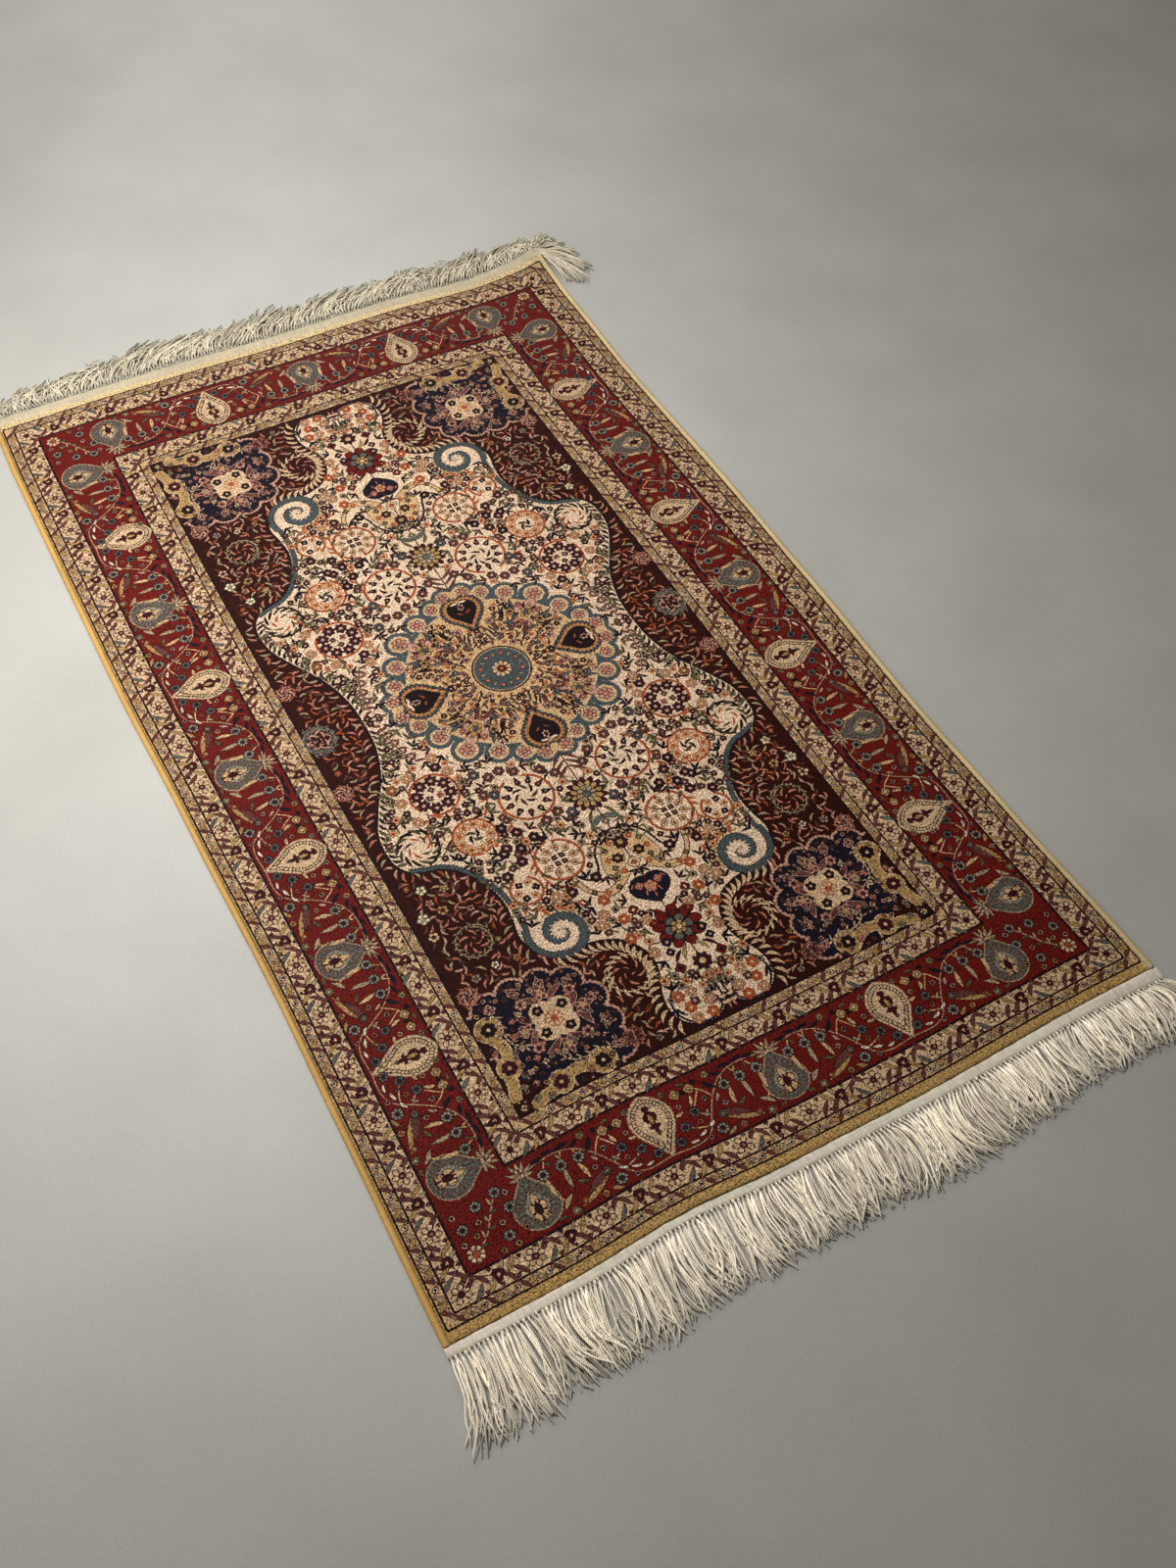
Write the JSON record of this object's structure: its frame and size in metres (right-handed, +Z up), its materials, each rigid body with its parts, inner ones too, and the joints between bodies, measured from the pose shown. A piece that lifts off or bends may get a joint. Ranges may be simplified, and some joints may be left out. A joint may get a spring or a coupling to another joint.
{
  "type": "silk rug",
  "caption": "Flat oblong pile rug with a woven heading and a warp fringe at each end and overcast side edges.",
  "frame": {"origin": "middle of the carpet's back, on the floor", "axes": "+Y along the rug's length towards the far end, +X across it, +Z up out of the pile"},
  "size_m": [0.9997, 1.7518, 0.0147],
  "materials": {
    "pile": "knotted silk pile with a soft sheen",
    "overcast": "gold silk overcasting",
    "warp": "cream twisted warp yarn"
  },
  "bodies": {
    "root": {"carpet": "pile", "side_cord_left": "overcast", "side_cord_right": "overcast", "fringe_near": "warp", "fringe_far": "warp"}
  },
  "joints": []
}
